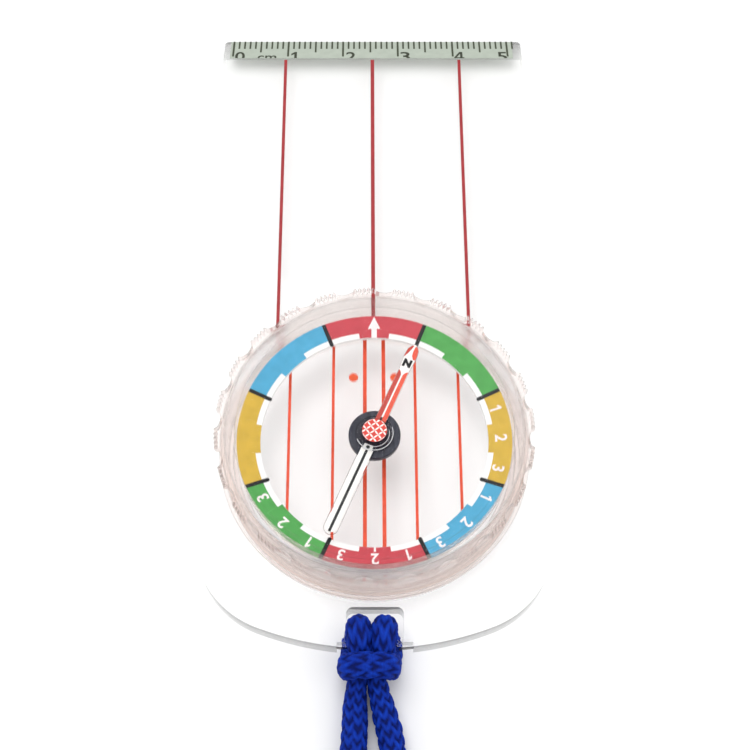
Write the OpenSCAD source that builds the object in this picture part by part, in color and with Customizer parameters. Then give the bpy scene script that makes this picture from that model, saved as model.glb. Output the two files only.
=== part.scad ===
// Baseplate compass: clear plate with a bevelled centimetre edge, a turning
// liquid capsule with a toothed bezel, a free needle on a steel pin, and a
// cord lanyard hitched through a slot in the near edge.
// +Z is up, +Y is the direction of travel, and the origin is the middle of the
// plate's underside.

/* [Plate] */
// Length of the plate along the direction of travel
plate_len = 114; // [112:0.5:116]
// Width of the plate at its far end
plate_w = 54.2; // [53.6:0.2:54.6]
// Width of the plate where the near end flares
flare_w = 54.8; // [54.8:0.2:56]
// Thickness of the plate
plate_t = 3.5; // [3.4:0.1:3.7]
// Radius of the near end's long arc
end_r = 50; // [48:1:56]
// Radius of the two near corners
corner_r = 15; // [14:0.5:16]

/* [Bevelled edge] */
// Length of the sloping far edge
bevel_len = 5.4; // [5.3:0.1:6]
// How far the plate thins down along the slope
bevel_drop = 1.6; // [1.2:0.1:1.8]
// Number of centimetres on the scale
scale_cm = 5; // [4:1:5]

/* [Direction lines] */
// Distance of each outer line from the middle line
direction_gap = 15.7; // [14:0.1:17]
// Width of the middle line
direction_w = 0.65; // [0.5:0.05:1]

/* [Lanyard slot] */
// Width of the slot
slot_w = 8.6; // [8.4:0.2:9]
// Depth of the slot, across the rim
slot_d = 5; // [4.8:0.1:5.2]
// Thickness of the rim between the slot and the near edge
slot_rim = 1.3; // [1.2:0.1:1.5]

/* [Dial] */
// Distance from the near edge to the needle's pivot
pivot_from_end = 31.5; // [31:0.25:32]
// Radius over the tips of the bezel's teeth
bezel_r = 24.4; // [24.3:0.1:24.8]
// Height of the dial's rim above the plate
dial_h = 9.25; // [9.25:0.05:9.6]
// Number of groups of teeth round the bezel
tooth_groups = 24; // [20:1:24]
// Teeth in one group
group_teeth = 5; // [4:1:5]

/* [Coloured ring] */
// Outer radius of the coloured ring
ring_r = 21.2; // [21:0.05:21.25]
// Inner radius of the coloured ring
ring_in_r = 17.55; // [17.35:0.1:17.95]

/* [Needle] */
// Length of the needle from the pivot to its north tip
needle_r = 16.6; // [15.6:0.2:17]
// Radius of the round magnet under the needle
magnet_r = 4; // [3.5:0.1:4.5]
// Direction of the needle at rest, clockwise from the direction of travel
needle_az = 23.3; // [0:0.1:359]

/* [Lanyard] */
// Diameter of the cord
cord_d = 4; // [3.8:0.1:4.1]

/* [Hidden] */
$fn = 96;

far_y = plate_len/2;
near_y = -plate_len/2;
pivot_y = near_y + pivot_from_end;
far_corner_r = 0.8;
through = 1;          // how far a cutter passes each face that it opens
print_t = 0.05;       // thickness of printed and stamped marks

// Plate outline: the corner arcs touch the end arc from inside
end_cy = near_y + end_r;
corner_x = flare_w/2 - corner_r;
corner_y = end_cy - sqrt(pow(end_r - corner_r, 2) - pow(corner_x, 2));
waist_y = corner_y + 8; // where the flare starts

// Slot
slot_corner_r = 1;
slot_near_y = near_y + slot_rim;
rim_t = 1.5;          // thickness of the rim that the cord is hitched round
relief_side = 1.4;    // how far the relief under the rim reaches past the slot

// Printed scale, measured on the slope from its far edge
strip_from_edge = 0.02;
strip_len = 5.13;
strip_side = [1.1, 1.6]; // clear margin at each end of the band
mark_w = [0.34, 0.3]; // centimetre marks, then the others
mark_len = [4.6, 3.3, 2.2]; // centimetre, half-centimetre and millimetre marks
scale_shift = -0.45;  // the scale sits a little left of the middle
line_shift = -0.1;    // and so do the direction lines
outer_line_w = direction_w - 0.1;
line_end_r = 23.75;   // where the direction lines stop under the dial

// Dial stack, heights above the table
turn_gap = 0.1;       // clearance between the turning dial and the plate
hole_r = 22.2;        // hole in the plate, hidden from above by the coloured ring
neck_r = hole_r - 0.05;
neck_in_r = 21.5;
shoulder_r = hole_r + 1.4; // recess for the retaining ring
bore_d = 1.3;         // depth of the recess for the retaining ring
bezel_z = plate_t + turn_gap;
bezel_top = plate_t + dial_h;
flange_t = 0.7;       // flat ring at the bezel's foot
foot_r = bezel_r - 0.1;
wall_r = bezel_r - 1;
rim_h = 1.65;         // height of the toothed rim
bezel_in_r = 22.75;
tooth_depth = 0.55;
tooth_pitch = 8.6/group_teeth;
scallop_depth = 0.35;

glide_r = [22.75, 23.6]; // glide ring, inside and outside
glide_t = 0.4;

keeper_out_r = hole_r + 1.2; // retaining ring
keeper_in_r = neck_in_r - 0.6;
keeper_z = 0.3;
keeper_spigot_h = 1;

cup_r = bezel_in_r - 0.05;
cup_z = bezel_z + flange_t;
cup_floor_t = 0.9;
floor_z = cup_z + cup_floor_t;
ledge_r = 20.6;
ring_z = plate_t + 4.4;
ring_t = [0.55, 1.15]; // the ring's top slopes down from its outer to its inner edge
chamber_r = ring_r + 0.1;
lid_t = 0.7;
lid_recess = 0.1;
lid_step_h = 0.2;
lid_step_w = 0.7;
lid_z = bezel_top - lid_recess - lid_t;
boss_r = 1.6;
boss_h = 1;
line_at = [1.49, 6.5, 13.4]; // lines on the capsule floor, either side of the middle
line_w = [0.6, 0.45, 0.45];
dot_at = [3.3, 12.1];
dot_r = 0.75;
plug_r = 1;
plug_at = [19.5, 200]; // distance from the pivot and angle

// Needle stack
magnet_z = ring_z + 1.2;
magnet_t = 1.1;
magnet_bore_r = 1;
blade_z = magnet_z + magnet_t;
blade_t = 0.3;
south_r = needle_r + 1; // the south end is a little longer
south_half_w = [1.15, 0.95]; // clear strip, then the white face on it
// North half: half-width and distance from the tip
north_shape = [[0.95, needle_r], [0.85, 4.8], [1.05, 2.3], [0.92, 1], [0.35, 0.15]];
face_z = blade_z + blade_t;
hub_r = 2.1;
label_r = hub_r - 0.2;
hub_z = face_z + print_t;
hub_flange_r = 2.95;
hub_flange_t = 0.25;
hub_top = lid_z - 0.25;
jewel_r = 1.2;
jewel_t = 0.9;
pin_r = 0.4;
pin_tip_z = hub_z + 0.55;
pin_cone_h = 0.7;

// Lanyard: the routes are lists of points on the two cords' centrelines
cord_r = cord_d/2;
hitch_x = -0.4;
hitch_w = 2*cord_d;
bar_w = hitch_w + 1.4; // the cord's crossing bar, over both strands
bar_at = [-60.2, 6.7];
hitch_front_y = -62;
over_rim_h = 2.2;
left_route = [
    [-2.4, -61.4, 3.2], [-2.6, -63.5, 2.5], [-2.8, -66, 2.1], [-3.1, -70, 2], [-3.8, -76, 2],
    [-5.8, -83, 2], [-8.6, -91, 2], [-11.3, -98, 2], [-13.6, -105, 2], [-15, -112, 2]
];
right_route = [
    [1.6, -61.4, 3.2], [1.7, -63.5, 2.5], [2.1, -66, 2.1], [2.8, -70, 2], [2.9, -76, 2],
    [0.8, -83, 2], [-3.2, -91, 2], [-6.8, -98, 2], [-9.5, -105, 2], [-11, -112, 2]
];
coil_at = [14, -112];
coil_out_r = 31;
coil_in_r = 12;
knot_at = [16, -113, 3.6];
knot_r = 3.6;

// ---------- helpers ----------

// Places children on the dial's axis
module at_pivot(z = 0) {
    translate([0, pivot_y, z]) children();
}

// Flat ring
module ring(outer, inner, h) {
    difference() {
        cylinder(r = outer, h = h);
        translate([0, 0, -through]) cylinder(r = inner, h = h + 2*through);
    }
}

function unit(v) = v/norm(v);

// Direction of the route at point i
function heading(route, i) =
    unit(route[min(i + 1, len(route) - 1)] - route[max(i - 1, 0)]);

// One ring of points across the route at point i
function cord_ring(route, i, r, sides) =
    let (t = heading(route, i), side = unit(cross(t, [0, 0, 1])), up = cross(side, t))
    [for (k = [0:sides - 1])
        route[i] + r*(cos((k + 0.5)*360/sides)*side + sin((k + 0.5)*360/sides)*up)];

// Tube of radius r along a route
module cord_tube(route, r, sides = 8) {
    n = len(route);
    points = [for (i = [0:n - 1]) each cord_ring(route, i, r, sides)];
    walls = [for (i = [0:n - 2], k = [0:sides - 1])
        let (a = i*sides + k, b = i*sides + (k + 1)%sides)
        [a, b, b + sides, a + sides]];
    start_cap = [[for (k = [sides - 1:-1:0]) k]];
    end_cap = [[for (k = [0:sides - 1]) (n - 1)*sides + k]];
    polyhedron(points = points, faces = concat(walls, start_cap, end_cap), convexity = 6);
}

// ---------- plate ----------

// Points on an arc from one angle to another, leaving out the first ones
function arc_points(centre, r, from_angle, to_angle, steps, first = 0) =
    [for (i = [first:steps])
        let (a = from_angle + (to_angle - from_angle)*i/steps)
        centre + r*[cos(a), sin(a)]];

// Far corner, straight side, flare, near corner and the near end's long arc
module plate_outline() {
    half = plate_w/2;
    tangent = atan2(corner_y - end_cy, corner_x);
    right = concat(
        arc_points([half - far_corner_r, far_y - far_corner_r], far_corner_r, 90, 0, 6),
        [[half, waist_y]],
        arc_points([corner_x, corner_y], corner_r, 0, tangent, 18),
        arc_points([0, end_cy], end_r, tangent, -90, 14, 1)
    );
    left = [for (i = [len(right) - 2:-1:0]) [-right[i][0], right[i][1]]];
    polygon(concat(right, left));
}

module slot_outline() {
    w = slot_w/2 - slot_corner_r;
    y0 = slot_near_y;
    y1 = slot_near_y + slot_d;
    translate([-w, y0]) square([2*w, slot_d]);
    translate([-slot_w/2, y0 + slot_corner_r]) square([slot_w, slot_d - 2*slot_corner_r]);
    for (s = [-1, 1], y = [y0 + slot_corner_r, y1 - slot_corner_r])
        translate([s*w, y]) circle(r = slot_corner_r);
}

// Everything above the sloping face, in the place of the far edge
module bevel_cutter() {
    rotate([90, 0, 90]) translate([0, 0, -plate_w])
        linear_extrude(height = 2*plate_w)
            polygon([
                [far_y - bevel_len, plate_t], [far_y + bevel_len, plate_t - 2*bevel_drop],
                [far_y + bevel_len, plate_t + through], [far_y - bevel_len, plate_t + through]
            ]);
}

module baseplate() {
    color([0.93, 0.94, 0.93, 0.4]) difference() {
        linear_extrude(height = plate_t) plate_outline();
        bevel_cutter();
        translate([0, 0, -through]) linear_extrude(height = plate_t + 2*through) slot_outline();
        at_pivot(-through) cylinder(r = hole_r, h = plate_t + 2*through);
        at_pivot(-through) cylinder(r = shoulder_r, h = bore_d + through);
        // relief under the rim, where the cord passes
        translate([-slot_w/2 - relief_side, near_y - through, -through])
            cube([slot_w + 2*relief_side, slot_rim + through + 0.01, plate_t - rim_t + through]);
    }
}

// Three stamped lines along the direction of travel, up to the dial
module direction_lines() {
    y_top = far_y - bevel_len;
    color([0.62, 0.16, 0.17]) at_pivot(plate_t) linear_extrude(height = print_t) difference() {
        for (s = [-1, 0, 1]) {
            w = s == 0 ? direction_w : outer_line_w;
            translate([line_shift + s*direction_gap - w/2, 0]) square([w, y_top - pivot_y]);
        }
        circle(r = line_end_r);
    }
}

// Frame on the sloping edge: x along the scale, y up the slope from the far edge
module on_bevel(lift = 0) {
    slope = atan(bevel_drop/bevel_len);
    translate([0, far_y, plate_t - bevel_drop]) rotate([-slope, 0, 0]) rotate([0, 0, 180])
        mirror([1, 0, 0]) translate([0, 0, lift]) children();
}

// Printed band behind the scale
module scale_strip() {
    w = plate_w - strip_side[0] - strip_side[1];
    color([0.70, 0.73, 0.68]) on_bevel()
        translate([strip_side[0] - plate_w/2, strip_from_edge, 0]) cube([w, strip_len, print_t]);
}

// Millimetre, half-centimetre and centimetre marks
module scale_marks() {
    marks = scale_cm*10 + 1;
    x0 = scale_shift - scale_cm*5;
    color([0.12, 0.13, 0.12]) on_bevel(print_t)
        for (i = [0:marks]) {
            w = mark_w[i%10 == 0 ? 0 : 1];
            h = mark_len[i%10 == 0 ? 0 : i%5 == 0 ? 1 : 2];
            translate([x0 + i - w/2, strip_from_edge, 0]) cube([w, h, print_t]);
        }
}

// Thin sliding ring between the plate and the dial
module glide_ring() {
    color([0.95, 0.95, 0.93]) at_pivot(plate_t) ring(glide_r[1], glide_r[0], glide_t);
}

// ---------- dial ----------

// Outline of the toothed rim: groups of fine teeth with shallow scallops between
function rim_points() =
    let (pitch = 360/tooth_groups, half = group_teeth*tooth_pitch/2, root = bezel_r - tooth_depth)
    [for (g = [0:tooth_groups - 1])
        let (c = 90 + pitch/4 - g*pitch)
        each concat(
            [for (i = [0:2*group_teeth])
                let (a = c + half - i*tooth_pitch/2, r = i%2 == 0 ? root : bezel_r)
                [r*cos(a), r*sin(a)]],
            [for (k = [1:3])
                let (a = c - half - k*(pitch - 2*half)/4, r = root - scallop_depth*sin(k*45))
                [r*cos(a), r*sin(a)]])];

module bezel() {
    color([0.92, 0.91, 0.90, 0.4]) at_pivot() difference() {
        union() {
            // foot, wall and toothed rim
            translate([0, 0, bezel_z]) cylinder(r = foot_r, h = flange_t);
            translate([0, 0, bezel_z]) cylinder(r = wall_r, h = bezel_top - bezel_z - rim_h + 0.01);
            translate([0, 0, bezel_top - rim_h]) linear_extrude(height = rim_h)
                polygon(rim_points());
            // neck through the plate's hole
            translate([0, 0, bore_d - turn_gap])
                cylinder(r = neck_r, h = bezel_z - bore_d + turn_gap + 0.01);
        }
        translate([0, 0, cup_z]) cylinder(r = bezel_in_r, h = dial_h + through);
        cylinder(r = neck_in_r, h = dial_h + through);
        // groove over the glide ring
        translate([0, 0, bezel_z - through])
            ring(glide_r[1] + 0.1, glide_r[0] - 0.1, glide_t + through);
    }
}

// Ring bonded to the neck from below, which keeps the dial in the plate
module retaining_ring() {
    flange_h = bore_d - turn_gap - keeper_z;
    color([0.90, 0.90, 0.88, 0.5]) at_pivot(keeper_z) {
        ring(keeper_out_r, keeper_in_r, flange_h);
        translate([0, 0, flange_h - 0.01])
            ring(neck_in_r - 0.05, keeper_in_r, keeper_spigot_h);
    }
}

module capsule_cup() {
    color([0.97, 0.97, 0.96, 0.35]) at_pivot(cup_z) difference() {
        cylinder(r = cup_r, h = lid_z - cup_z);
        // chamber above the ledge, then the narrower part below it
        translate([0, 0, ring_z - cup_z]) cylinder(r = chamber_r, h = dial_h);
        difference() {
            translate([0, 0, cup_floor_t]) cylinder(r = ledge_r, h = dial_h);
            translate([0, 0, cup_floor_t - 0.01]) cylinder(r = boss_r, h = boss_h + 0.01);
        }
        // seat of the pin and hole of the filler plug
        translate([0, 0, 0.3]) cylinder(r = pin_r, h = dial_h);
        rotate([0, 0, plug_at[1]]) translate([plug_at[0], 0, -through])
            cylinder(r = plug_r, h = cup_floor_t + 2*through);
    }
}

// Flat window with a locating step below it
module capsule_lid() {
    step_r = chamber_r - 0.05;
    color([0.95, 0.96, 0.96, 0.25]) at_pivot() {
        translate([0, 0, lid_z]) cylinder(r = cup_r, h = lid_t);
        translate([0, 0, lid_z - lid_step_h]) ring(step_r, step_r - lid_step_w, lid_step_h + 0.01);
    }
}

module colour_ring() {
    color([0.95, 0.94, 0.92]) at_pivot(ring_z) rotate_extrude()
        polygon([[ring_in_r, 0], [ring_r, 0], [ring_r, ring_t[1]], [ring_in_r, ring_t[0]]]);
}

// Six lines on the capsule floor, lined up with the map's meridians
module orienting_lines() {
    color([0.84, 0.28, 0.20]) at_pivot(floor_z) linear_extrude(height = print_t)
        intersection() {
            for (i = [0:len(line_at) - 1], s = [-1, 1])
                translate([s*line_at[i] - line_w[i]/2, -ledge_r])
                    square([line_w[i], 2*ledge_r]);
            difference() {
                circle(r = ledge_r - 0.3);
                circle(r = boss_r + 0.1);
            }
        }
}

// Two dots beside the middle lines, on the north side
module north_dots() {
    color([0.88, 0.18, 0.18]) at_pivot(floor_z)
        for (s = [-1, 1]) translate([s*dot_at[0], dot_at[1], 0]) cylinder(r = dot_r, h = print_t);
}

module pivot_pin() {
    z0 = cup_z + 0.3;
    color([0.75, 0.76, 0.78]) at_pivot() {
        translate([0, 0, z0]) cylinder(r = pin_r, h = pin_tip_z - pin_cone_h - z0);
        translate([0, 0, pin_tip_z - pin_cone_h]) cylinder(r1 = pin_r, r2 = 0.05, h = pin_cone_h);
    }
}

module filler_plug() {
    color([0.85, 0.85, 0.83]) at_pivot(cup_z) rotate([0, 0, plug_at[1]])
        translate([plug_at[0], 0, 0]) cylinder(r = plug_r, h = cup_floor_t);
}

// ---------- needle ----------

// Turns children so that +Y is the needle's north end
module on_needle(z) {
    at_pivot(z) rotate([0, 0, -needle_az]) children();
}

// North half: narrows a little, widens again and closes in a blunt point
module north_outline(inset = 0) {
    right = [for (p = north_shape)
        [p[0] - inset, needle_r - p[1] - (p[1] < 2 ? inset : 0)]];
    left = [for (i = [len(right) - 1:-1:0]) [-right[i][0], right[i][1]]];
    polygon(concat(right, [[0, needle_r - inset]], left));
}

// South half: a plain bar with a round end
module south_outline(half_w, length) {
    translate([-half_w, -length + half_w]) square([2*half_w, length - half_w]);
    translate([0, -length + half_w]) circle(r = half_w);
}

module needle_blade() {
    color([0.95, 0.95, 0.95, 0.5]) on_needle(blade_z) linear_extrude(height = blade_t)
        difference() {
            union() {
                north_outline();
                south_outline(south_half_w[0], south_r);
                circle(r = hub_flange_r);
            }
            circle(r = magnet_bore_r);
        }
}

module needle_north_face() {
    color([0.88, 0.22, 0.18]) on_needle(face_z) linear_extrude(height = print_t) difference() {
        north_outline(0.06);
        circle(r = hub_flange_r);
    }
}

module needle_south_face() {
    color([0.97, 0.97, 0.96]) on_needle(face_z) linear_extrude(height = print_t) difference() {
        south_outline(south_half_w[1], south_r - 0.4);
        circle(r = hub_flange_r);
    }
}

module needle_magnet() {
    color([0.20, 0.21, 0.26]) on_needle(magnet_z) ring(magnet_r, magnet_bore_r, magnet_t);
}

// Cup bearing with a conical seat for the pin's tip
module needle_jewel() {
    seat_r = pin_r + 0.06;
    color([0.80, 0.25, 0.35]) on_needle(hub_z) difference() {
        cylinder(r = jewel_r - 0.02, h = jewel_t);
        translate([0, 0, pin_tip_z - hub_z - pin_cone_h + 0.06])
            cylinder(r1 = seat_r, r2 = 0.06, h = pin_cone_h);
    }
}

module hub_cap() {
    color([0.90, 0.90, 0.92, 0.5]) on_needle(hub_z - print_t) difference() {
        union() {
            cylinder(r = hub_flange_r - 0.05, h = hub_flange_t);
            cylinder(r = hub_r, h = hub_top - hub_z + print_t);
        }
        translate([0, 0, -through]) cylinder(r = jewel_r, h = jewel_t + print_t + through);
    }
}

// Round patterned disc on top of the hub
module hub_label() {
    color([0.86, 0.27, 0.22]) on_needle(hub_top) cylinder(r = label_r, h = print_t);
}

// ---------- lanyard ----------

// Outer shape of the hitch: cord in the slot, over the rim, and wrapped across
module lanyard_hitch() {
    w = hitch_w;
    low_z = 0.1;
    color([0.06, 0.17, 0.63]) translate([hitch_x, 0, 0]) {
        // in the slot
        translate([-w/2, slot_near_y + 0.3, low_z]) cube([w, slot_d - 0.9, plate_t + over_rim_h]);
        // over the rim
        translate([-w/2, hitch_front_y, plate_t])
            cube([w, slot_near_y + 1 - hitch_front_y, over_rim_h]);
        // in front of the rim, down to the table
        translate([-bar_w/2, hitch_front_y + 0.3, low_z])
            cube([bar_w, near_y - 0.5 - hitch_front_y, plate_t + 1]);
        // crossing bar
        translate([-bar_w/2, bar_at[0], bar_at[1]]) rotate([0, 90, 0])
            cylinder(r = cord_r, h = bar_w);
    }
}

module lanyard_left() {
    color([0.06, 0.17, 0.63]) cord_tube(left_route, cord_r);
}

module lanyard_right() {
    color([0.06, 0.17, 0.63]) cord_tube(right_route, cord_r);
}

// Outer shape of the cord's flat coil
module lanyard_coil() {
    color([0.06, 0.17, 0.63]) translate(concat(coil_at, [0]))
        ring(coil_out_r, coil_in_r, cord_d);
}

module lanyard_knot() {
    color([0.06, 0.17, 0.63]) translate(knot_at) sphere(r = knot_r);
}

baseplate();
direction_lines();
scale_strip();
scale_marks();
glide_ring();
bezel();
retaining_ring();
capsule_cup();
capsule_lid();
colour_ring();
orienting_lines();
north_dots();
pivot_pin();
filler_plug();
needle_blade();
needle_north_face();
needle_south_face();
needle_magnet();
needle_jewel();
hub_cap();
hub_label();
lanyard_hitch();
lanyard_left();
lanyard_right();
lanyard_coil();
lanyard_knot();
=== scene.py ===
"""Looks of the baseplate compass: clear mouldings, prints, needle and braided lanyard.

Lengths are written in millimetres and turned into metres where meshes are made.
"""
import math

import bmesh
import bpy
import numpy as np
from mathutils import Matrix, Vector


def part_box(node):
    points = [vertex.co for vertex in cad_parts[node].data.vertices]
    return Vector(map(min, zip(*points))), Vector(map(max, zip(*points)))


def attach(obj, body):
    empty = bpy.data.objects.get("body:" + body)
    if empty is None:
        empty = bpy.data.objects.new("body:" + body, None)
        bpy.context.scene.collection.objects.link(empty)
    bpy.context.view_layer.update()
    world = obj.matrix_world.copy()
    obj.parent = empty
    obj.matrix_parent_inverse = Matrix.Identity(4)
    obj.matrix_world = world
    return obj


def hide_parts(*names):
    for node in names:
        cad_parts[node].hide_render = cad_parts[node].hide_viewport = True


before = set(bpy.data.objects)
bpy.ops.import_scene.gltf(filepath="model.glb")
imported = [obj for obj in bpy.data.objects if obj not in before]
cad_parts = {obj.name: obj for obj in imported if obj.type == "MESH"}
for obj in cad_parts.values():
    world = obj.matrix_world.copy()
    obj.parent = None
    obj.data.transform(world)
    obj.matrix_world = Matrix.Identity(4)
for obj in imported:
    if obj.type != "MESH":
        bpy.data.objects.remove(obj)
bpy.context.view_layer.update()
MM = 0.001


def span(node):
    """Lowest and highest corner of a CAD node, in millimetres."""
    low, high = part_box(node)
    return Vector(low) / MM, Vector(high) / MM


PLATE_LOW, PLATE_HIGH = span("baseplate")
PLATE_TOP = PLATE_HIGH.z
FAR_Y = PLATE_HIGH.y
NEAR_Y = PLATE_LOW.y
RING_LOW, RING_HIGH = span("colour_ring")
PIVOT = Vector(((RING_LOW.x + RING_HIGH.x) / 2, (RING_LOW.y + RING_HIGH.y) / 2, 0))


# ---------- camera ----------

CAMERA_TARGET = (0.15, -12.1)  # on the plate's top face
CAMERA_DISTANCE = 225.9
CAMERA_ELEVATION = math.radians(63.91)
CAMERA_YAW = math.radians(0.71)  # the view leans to +X
CAMERA_ROLL = math.radians(0.56)
CAMERA_LENS = 67.12


def add_camera():
    level = math.cos(CAMERA_ELEVATION)
    ahead = Vector((
        level * math.sin(CAMERA_YAW),
        level * math.cos(CAMERA_YAW),
        -math.sin(CAMERA_ELEVATION),
    ))
    data = bpy.data.cameras.new("camera")
    data.lens = CAMERA_LENS
    data.sensor_width = 36
    data.clip_start = 0.005
    data.clip_end = 20
    camera = bpy.data.objects.new("camera", data)
    bpy.context.scene.collection.objects.link(camera)
    target = Vector((*CAMERA_TARGET, PLATE_TOP))
    turn = ahead.to_track_quat("-Z", "Y").to_matrix() @ Matrix.Rotation(CAMERA_ROLL, 3, "Z")
    place = Matrix.Translation((target - ahead * CAMERA_DISTANCE) * MM)
    camera.matrix_world = place @ turn.to_4x4()
    bpy.context.scene.camera = camera


add_camera()


# ---------- node helpers ----------

class Tree:
    """A material with its Principled shader, and short ways to add nodes to it."""

    def __init__(self, name, colour, roughness=0.5):
        self.material = bpy.data.materials.new(name)
        self.material.use_nodes = True
        self.nodes = self.material.node_tree.nodes
        self.links = self.material.node_tree.links
        self.shader = self.nodes["Principled BSDF"]
        self.output = self.nodes["Material Output"]
        self.shader.inputs["Base Color"].default_value = (*colour, 1)
        self.shader.inputs["Roughness"].default_value = roughness

    def add(self, kind, inputs=None, **settings):
        node = self.nodes.new(kind)
        for key, value in settings.items():
            setattr(node, key, value)
        for key, value in (inputs or {}).items():
            self.feed(value, node.inputs[key])
        return node

    def feed(self, value, socket):
        if isinstance(value, bpy.types.NodeSocket):
            self.links.new(value, socket)
        else:
            socket.default_value = value

    def position(self):
        return self.add("ShaderNodeTexCoord").outputs["Object"]

    def noise(self, scale, detail=3.0, stretch=(1, 1, 1), distortion=0.0):
        mapping = self.add("ShaderNodeMapping", {"Vector": self.position(), "Scale": stretch})
        inputs = {
            "Vector": mapping.outputs["Vector"],
            "Scale": scale,
            "Detail": detail,
            "Distortion": distortion,
        }
        return self.add("ShaderNodeTexNoise", inputs).outputs["Fac"]

    def ramp(self, factor, stops):
        node = self.add("ShaderNodeValToRGB", {"Fac": factor})
        elements = node.color_ramp.elements
        while len(elements) < len(stops):
            elements.new(0.5)
        for element, (place, colour) in zip(elements, stops):
            element.position = place
            element.color = (*colour, 1)
        return node.outputs["Color"]

    def to_range(self, factor, low, high, from_low=0.0, from_high=1.0):
        inputs = {
            "Value": factor,
            "From Min": from_low,
            "From Max": from_high,
            "To Min": low,
            "To Max": high,
        }
        return self.add("ShaderNodeMapRange", inputs).outputs["Result"]

    def bump(self, height, distance, strength=1.0):
        inputs = {"Height": height, "Distance": distance, "Strength": strength}
        node = self.add("ShaderNodeBump", inputs)
        self.links.new(node.outputs["Normal"], self.shader.inputs["Normal"])

    def set(self, socket, value):
        self.feed(value, self.shader.inputs[socket])


def shade(colour, factor):
    return tuple(c * factor for c in colour)


# ---------- materials ----------

UNBENT_SHARE = 0.45  # how much of the view through clear plastic is left unbent


def clear_plastic(name, tint, waviness=0.15, haze=0.02, ior=1.49, edge=0.6, wall=0.93,
                  flat=0.9, unbent_share=UNBENT_SHARE):
    """Moulded clear plastic with painted shade on its rounded edges and walls, which shows them as
    thin darker lines.

    It has faint flow waves and fine handling scratches. Light from lamps and light on its way
    between matte surfaces goes straight through it.
    """
    tree = Tree(name, tint)
    facing = tree.add("ShaderNodeSeparateXYZ", {
        "Vector": tree.add("ShaderNodeNewGeometry").outputs["Normal"],
    }).outputs["Z"]
    steepness = tree.add("ShaderNodeMath", {0: facing}, operation="ABSOLUTE").outputs["Value"]
    # painted shade: the tint darkens where a face stands steeply, on walls and roundings, and stays
    # clear on flat faces
    colour = tree.ramp(steepness, [
        (0.0, shade(tint, wall)), (0.12, shade(tint, edge)),
        (flat, shade(tint, edge)), (min(flat + 0.06, 1.0), tint),
    ])
    tree.set("Base Color", colour)
    tree.set("Transmission Weight", 1.0)
    tree.set("IOR", ior)
    scratches = tree.noise(900, 2, (1, 0.06, 1), 0.6)
    tree.set("Roughness", tree.to_range(scratches, 0.0, haze, 0.62, 0.8))
    flow = tree.noise(35, 1)
    tree.bump(flow, waviness * MM, 0.3)
    straight = tree.add("ShaderNodeBsdfTransparent", {"Color": (0.998, 0.998, 0.998, 1)})
    unbent = tree.add("ShaderNodeBsdfTransparent", {"Color": colour})
    seen = tree.add("ShaderNodeMixShader", {
        0: unbent_share,
        1: tree.shader.outputs["BSDF"],
        2: unbent.outputs["BSDF"],
    })
    path = tree.add("ShaderNodeLightPath")
    between = tree.add("ShaderNodeMixShader", {
        0: path.outputs["Is Diffuse Ray"],
        1: seen.outputs["Shader"],
        2: straight.outputs["BSDF"],
    })
    mix = tree.add("ShaderNodeMixShader", {
        0: path.outputs["Is Shadow Ray"],
        1: between.outputs["Shader"],
        2: straight.outputs["BSDF"],
    })
    tree.links.new(mix.outputs["Shader"], tree.output.inputs["Surface"])
    return tree.material


def printed(name, colour, roughness=0.45, mottle=0.08):
    """Screen-printed ink: slight unevenness in colour and a soft pebbled surface."""
    tree = Tree(name, colour, roughness)
    patch = tree.noise(700, 4)
    stops = [(0.3, shade(colour, 1 - mottle)), (0.7, shade(colour, 1 + mottle))]
    tree.set("Base Color", tree.ramp(patch, stops))
    tree.set("Roughness", tree.to_range(tree.noise(2500, 2), roughness - 0.08, roughness + 0.08))
    tree.set("Specular IOR Level", 0.22)
    tree.bump(tree.noise(5000, 2), 0.01 * MM, 0.25)
    return tree.material


def moulded(name, colour, roughness=0.4):
    """Opaque moulded plastic with a fine orange-peel surface."""
    tree = Tree(name, colour, roughness)
    cloud = tree.noise(160, 3)
    tree.set("Base Color", tree.ramp(cloud, [(0.3, shade(colour, 0.96)), (0.7, colour)]))
    tree.set("Roughness", tree.to_range(tree.noise(900, 3), roughness - 0.06, roughness + 0.1))
    tree.bump(tree.noise(1400, 2), 0.02 * MM, 0.3)
    return tree.material


# ---------- mesh helpers ----------

FLAT_AREA = 2.0  # level faces larger than this, in square millimetres, are shaded flat


def flatten_large_faces(mesh):
    """Marks the borders of large level faces sharp, so that their shading doesn't bend."""
    sharp = mesh.attributes.get("sharp_edge")
    if sharp is None:
        sharp = mesh.attributes.new("sharp_edge", "BOOLEAN", "EDGE")
    edge_of = {key: k for k, key in enumerate(mesh.edge_keys)}
    for polygon in mesh.polygons:
        if polygon.area > FLAT_AREA * MM ** 2 and abs(polygon.normal.z) > 0.999:
            for key in polygon.edge_keys:
                sharp.data[edge_of[key]].value = True


def finished(name, mesh, material, body, sharp=math.radians(35)):
    """Links a mesh as a piece that rides on a body."""
    for polygon in mesh.polygons:
        polygon.use_smooth = True
    mesh.set_sharp_from_angle(angle=sharp)
    flatten_large_faces(mesh)
    piece = bpy.data.objects.new(name, mesh)
    bpy.context.scene.collection.objects.link(piece)
    if material:
        mesh.materials.clear()
        mesh.materials.append(material)
    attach(piece, body)
    return piece


def mesh_from(name, points, faces):
    """A mesh from points in millimetres."""
    mesh = bpy.data.meshes.new(name)
    mesh.from_pydata([tuple(c * MM for c in p) for p in points], [], faces)
    mesh.update()
    return mesh


def from_bmesh(name, work):
    bmesh.ops.recalc_face_normals(work, faces=work.faces)
    mesh = bpy.data.meshes.new(name)
    work.to_mesh(mesh)
    work.free()
    return mesh


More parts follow.
